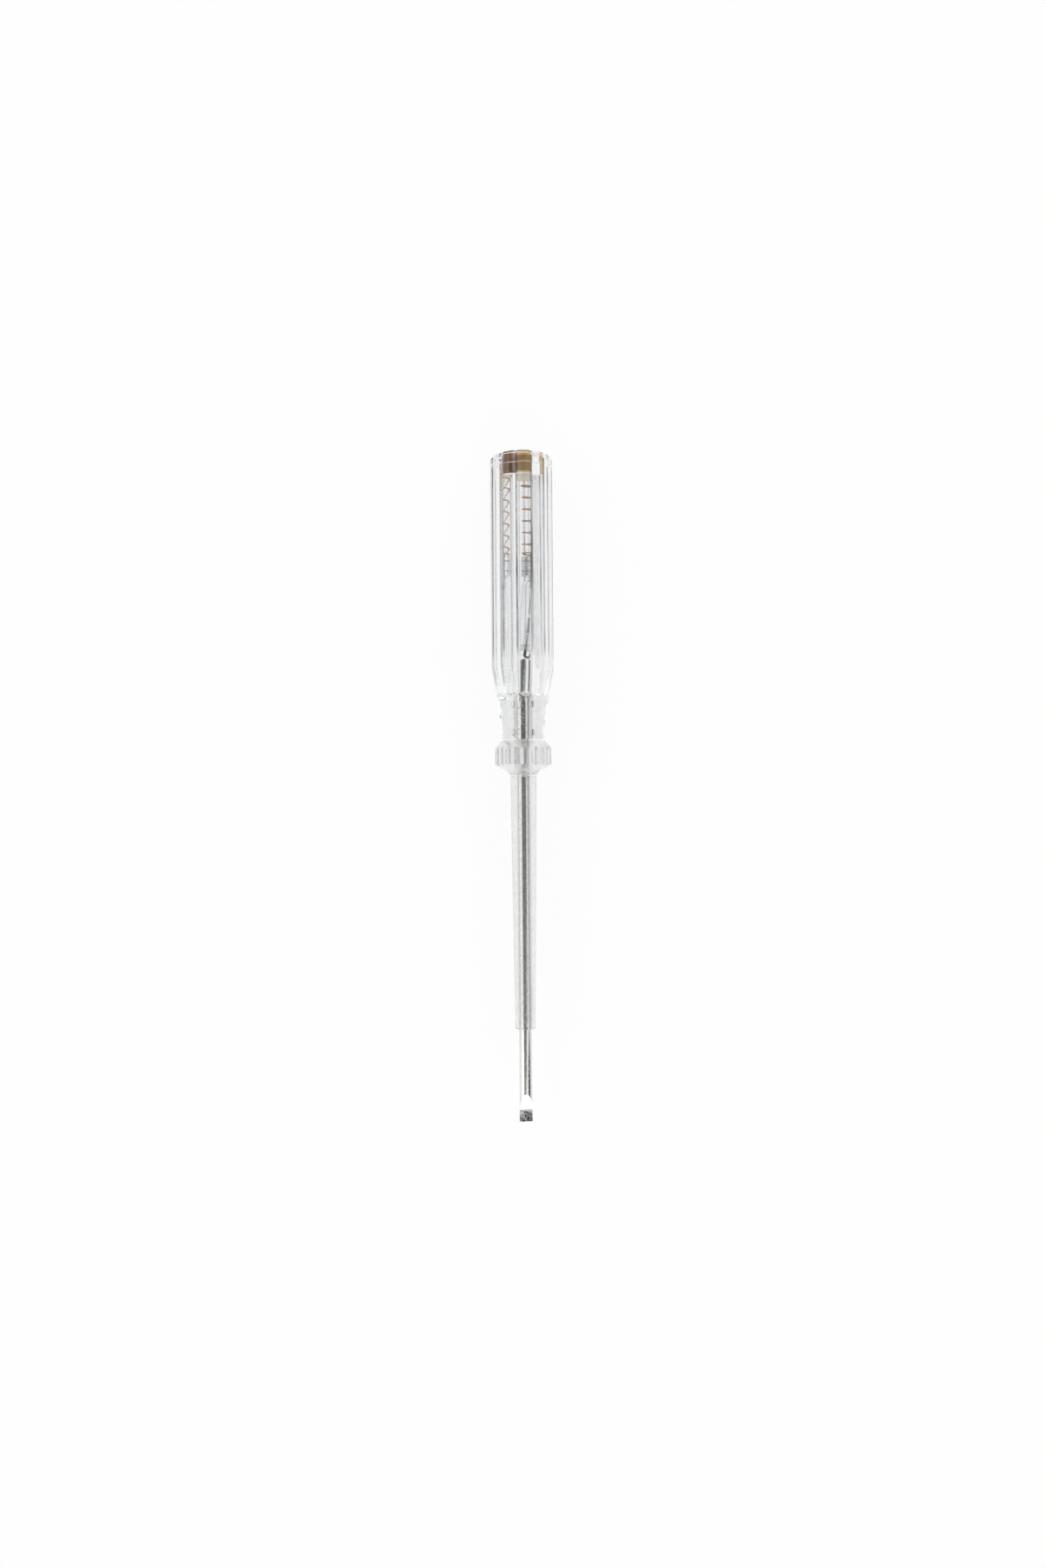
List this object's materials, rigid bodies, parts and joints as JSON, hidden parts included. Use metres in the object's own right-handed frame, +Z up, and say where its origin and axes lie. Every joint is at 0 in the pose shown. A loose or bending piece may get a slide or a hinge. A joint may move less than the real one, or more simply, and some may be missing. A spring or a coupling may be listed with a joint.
{
  "type": "voltage tester screwdriver",
  "caption": "Slotted screwdriver with a clear fluted handle that holds a neon lamp, resistor and spring under a brass end cap, and a clear insulating sleeve on the blade.",
  "frame": {"origin": "centre of the flat end of the blade's tip, on the tool's axis", "axes": "+X along the tool's axis from the blade's tip to the end cap; +Z up, square to the flats of the tip, with the tool lying on a flat of its handle"},
  "size_m": [0.19, 0.018, 0.018],
  "materials": {
    "handle_plastic": "clear moulded cellulose acetate, light scuffs",
    "collar_plastic": "clear moulded plastic",
    "sleeve_plastic": "clear plastic tube, satin",
    "blade_steel": "plated, darker and bare at the ground tip",
    "cap_brass": "turned",
    "spring_bronze": "drawn bronze wire",
    "resistor_ceramic": "matte",
    "resistor_lacquer": "grey lacquer",
    "tinned_steel": "tinned",
    "lead_wire": "oxidised wire",
    "solder": "dull",
    "lamp_glass": "clear",
    "seal_glass": "pressed glass",
    "electrode_nickel": "activated nickel, dull"
  },
  "bodies": {
    "handle": {"handle_body": "handle_plastic", "guard_collar": "collar_plastic", "insulating_sleeve": "sleeve_plastic", "blade": "blade_steel"},
    "cap": {"end_cap": "cap_brass", "contact_spring": "spring_bronze"},
    "lamp_stack": {"resistor_core": "resistor_ceramic", "resistor_coat": "resistor_lacquer", "resistor_upper_cap": "tinned_steel", "resistor_lower_cap": "tinned_steel", "resistor_upper_lead": "lead_wire", "resistor_lower_lead": "lead_wire", "solder_joint": "solder", "lamp_envelope": "lamp_glass", "lamp_upper_seal": "seal_glass", "lamp_lower_seal": "seal_glass", "upper_electrode": "electrode_nickel", "lower_electrode": "electrode_nickel", "lamp_upper_lead": "lead_wire", "lamp_lower_lead": "lead_wire"}
  },
  "joints": [
    {"name": "cap_pull", "type": "slide", "parent": "handle", "child": "cap", "axis": [1, 0, 0], "range_m": [0, 0.0055]},
    {"name": "lamp_float", "type": "slide", "parent": "handle", "child": "lamp_stack", "axis": [1, 0, 0], "range_m": [0, 0.0015], "stiffness_N_per_m": 500, "springref_m": -0.004, "deforming": ["contact_spring"]}
  ]
}
